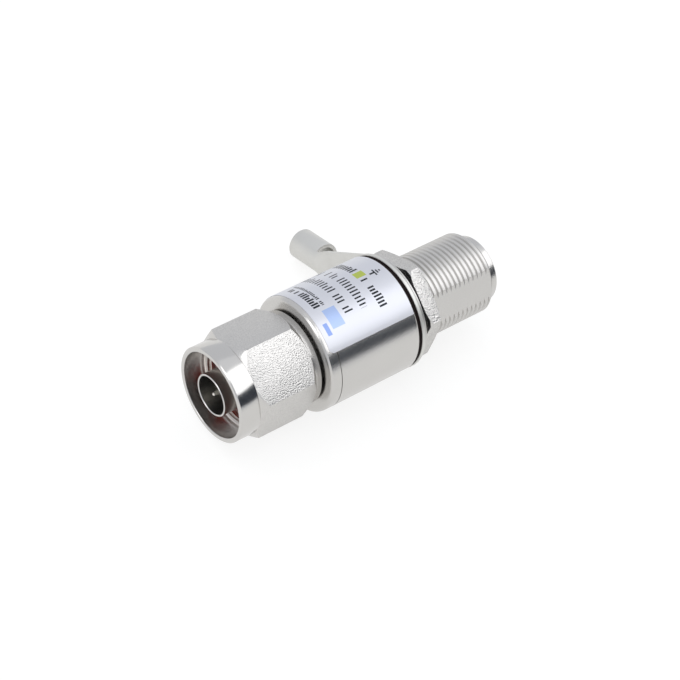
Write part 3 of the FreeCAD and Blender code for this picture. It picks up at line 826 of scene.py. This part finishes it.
class ARRESTOR_OT_stage(bpy.types.Operator):
    """Pale floor, soft studio light and the camera at the photograph's angle"""
    bl_idname = "arrestor.stage"
    bl_label = "Stage, light and camera"

    def execute(self, context):
        scene = context.scene
        scene.view_settings.view_transform = "Standard"

        paper, tree = new_material("white_seamless_paper")
        where = add(tree, "ShaderNodeTexCoord").outputs["Object"]
        grain = add(tree, "ShaderNodeTexNoise", inputs={"Scale": 900.0, "Detail": 2.0, "Vector": where})
        normal = add(tree, "ShaderNodeBump", inputs={"Strength": 0.02, "Distance": 0.0001, "Height": grain})
        paint = add(tree, "ShaderNodeBsdfPrincipled",
                    inputs={"Base Color": (*linear("F8F7F3"), 1), "Roughness": 0.9, "Normal": normal})
        # White to the camera and in the metal, as a light table is, but for a faint shadow at the contact.
        path = add(tree, "ShaderNodeLightPath")
        seen = path.outputs["Is Camera Ray"]
        for ray in ("Is Glossy Ray", "Is Transmission Ray"):
            seen = add(tree, MATH, {"operation": "MAXIMUM"}, {0: seen, 1: path.outputs[ray]})
        share = add(tree, MATH, {"operation": "MULTIPLY"}, {0: seen, 1: 0.66})
        strength = add(tree, MATH, {"operation": "MULTIPLY_ADD"},
                       {0: path.outputs["Is Camera Ray"], 1: 0.09, 2: 1.07})
        glow = add(tree, "ShaderNodeEmission", inputs={"Color": (1, 1, 1, 1), "Strength": strength})
        both = add(tree, "ShaderNodeMixShader", inputs={0: share, 1: paint, 2: glow})
        add(tree, "ShaderNodeOutputMaterial", inputs={"Surface": both})
        sheet = bmesh.new()
        bmesh.ops.create_grid(sheet, x_segments=1, y_segments=1, size=3.0)
        bmesh.ops.translate(sheet, vec=(0, 0, CAD_BOX[0].z - 0.00002), verts=sheet.verts)
        floor = mesh_object("floor", sheet, [paper])

        world = bpy.data.worlds.new("white_room")
        scene.world = world
        world.use_nodes = True
        tree = world.node_tree
        tree.nodes.clear()
        path = add(tree, "ShaderNodeLightPath")
        room = add(tree, "ShaderNodeBackground", inputs={"Color": (0.92, 0.945, 1.0, 1), "Strength": 0.82})
        backdrop = add(tree, "ShaderNodeBackground", inputs={"Color": (1, 1, 1, 1), "Strength": 1.0})
        both = add(tree, "ShaderNodeMixShader",
                   inputs={0: path.outputs["Is Camera Ray"], 1: room, 2: backdrop})
        add(tree, "ShaderNodeOutputWorld", inputs={"Surface": both})

        # The front softboxes and the side one show in the metal only, so that their shadows don't fall
        # across the paper. The upper one is the dimmer edge of the front one's cloth. The overhead one
        # lights everything and shows in no reflection.
        for name, place, wide, high, power, hidden_from in (
                ("front_softbox", (0.549, -0.46, 0.859), 1.3, 1.10, 4.9, "visible_diffuse"),
                ("front_softbox_upper_edge", (0.551, 0.256, 0.939), 1.3, 0.56, 0.36, "visible_diffuse"),
                ("side_softbox", (-0.92, 0.09, 0.58), 0.48, 0.48, 1.16, "visible_diffuse"),
                ("overhead_softbox", (-0.25, 0.2, 1.15), 1.4, 1.4, 2.6, "visible_glossy")):
            data = bpy.data.lights.new(name, "AREA")
            data.shape = "RECTANGLE"
            data.size, data.size_y, data.energy = wide, high, power
            lamp = new_object(name, data)
            face_origin(lamp, place)
            setattr(lamp, hidden_from, False)

        # A dark gap of the room between the softbox and the floor shows as the dark stripe on the barrel.
        velvet, tree = new_material("black_velvet")
        surface(tree, {"Base Color": (*linear("2B323E"), 1), "Roughness": 0.9})
        sheet = bmesh.new()
        bmesh.ops.create_grid(sheet, x_segments=1, y_segments=1, size=0.5)
        bmesh.ops.scale(sheet, vec=(2.0, 0.49, 1), verts=sheet.verts)
        card = mesh_object("dark_gap", sheet, [velvet])
        face_origin(card, (0.488, -0.8165, 0.3054))
        card.visible_camera = False
        card.visible_diffuse = False
        card.visible_shadow = False

        data = bpy.data.cameras.new("camera")
        data.lens = 105.88
        data.sensor_width = 36
        data.clip_start, data.clip_end = 0.01, 20
        camera = new_object("camera", data)
        place = (-0.18745, -0.16347, 0.26739)
        forward = Vector((0.49262, 0.45119, -0.74415)).normalized()
        up = Vector((0.38208, 0.65615, 0.65077))
        right = forward.cross(up).normalized()
        turn = Matrix((right, right.cross(forward).normalized(), -forward)).transposed()
        camera.matrix_world = Matrix.Translation(place) @ turn.to_4x4()
        scene.camera = camera
        return {"FINISHED"}


class ARRESTOR_PT_panel(bpy.types.Panel):
    """Lists the pieces of the arrestor"""
    bl_idname = "ARRESTOR_PT_panel"
    bl_label = "Surge arrestor"
    bl_space_type = "VIEW_3D"
    bl_region_type = "UI"
    bl_category = "Arrestor"

    def draw(self, context):
        for operator in OPERATORS:
            self.layout.operator(operator.bl_idname)
        for group in (context.scene.arrestor_sizes, context.scene.arrestor_finish):
            box = self.layout.box()
            for key in group.__annotations__:
                box.prop(group, key)


OPERATORS = (ARRESTOR_OT_coupling_nut, ARRESTOR_OT_plug_inside, ARRESTOR_OT_barrel,
             ARRESTOR_OT_panel_fittings, ARRESTOR_OT_inner_line, ARRESTOR_OT_stage)
CLASSES = (ArrestorSizes, ArrestorFinish, *OPERATORS, ARRESTOR_PT_panel)


def register():
    for item in CLASSES:
        bpy.utils.register_class(item)
    bpy.types.Scene.arrestor_sizes = bpy.props.PointerProperty(type=ArrestorSizes)
    bpy.types.Scene.arrestor_finish = bpy.props.PointerProperty(type=ArrestorFinish)


def unregister():
    del bpy.types.Scene.arrestor_finish
    del bpy.types.Scene.arrestor_sizes
    for item in reversed(CLASSES):
        bpy.utils.unregister_class(item)


def main():
    register()
    bpy.ops.arrestor.coupling_nut()
    bpy.ops.arrestor.plug_inside()
    bpy.ops.arrestor.barrel()
    bpy.ops.arrestor.panel_fittings()
    bpy.ops.arrestor.inner_line()
    bpy.ops.arrestor.stage()


if __name__ == "__main__":
    main()
